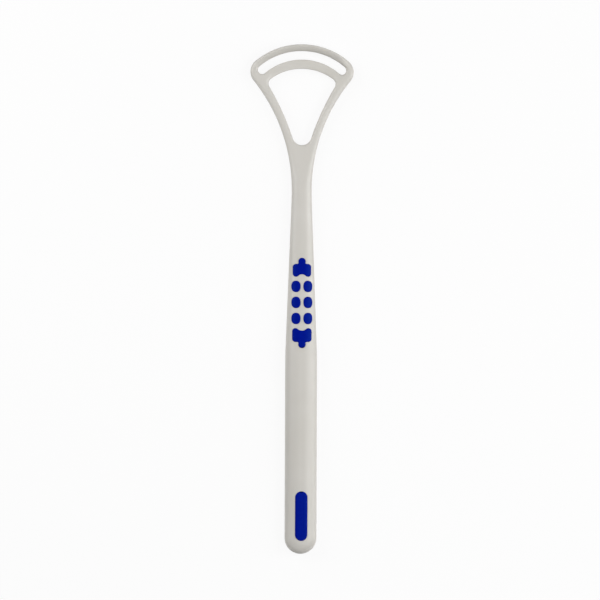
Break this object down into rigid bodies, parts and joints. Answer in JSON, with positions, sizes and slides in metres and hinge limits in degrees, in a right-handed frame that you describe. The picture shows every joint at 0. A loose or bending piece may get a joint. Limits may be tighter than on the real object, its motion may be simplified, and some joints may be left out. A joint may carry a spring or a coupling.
{
  "type": "tongue scraper",
  "caption": "Slim moulded tongue scraper: fan-shaped head with a ridged outer bar, an inner bar and an open window, on a tapered handle with soft grip pads.",
  "frame": {"origin": "on the plane that the back rests on, under the middle of the length and width", "axes": "+Y from the tail to the scraping edge, +X to the right seen from the front, +Z out of the front, which carries the grip pads"},
  "size_m": [0.0356, 0.175, 0.0068],
  "materials": {
    "white_plastic": "satin injection-moulded polypropylene",
    "blue_soft_grip": "satin thermoplastic elastomer"
  },
  "bodies": {
    "root": {"scraper_body": "white_plastic", "upper_grip_crest": "blue_soft_grip", "lower_grip_crest": "blue_soft_grip", "tail_grip_bar": "blue_soft_grip", "grip_dot_left_1": "blue_soft_grip", "grip_dot_left_2": "blue_soft_grip", "grip_dot_left_3": "blue_soft_grip", "grip_dot_right_1": "blue_soft_grip", "grip_dot_right_2": "blue_soft_grip", "grip_dot_right_3": "blue_soft_grip"}
  },
  "joints": []
}
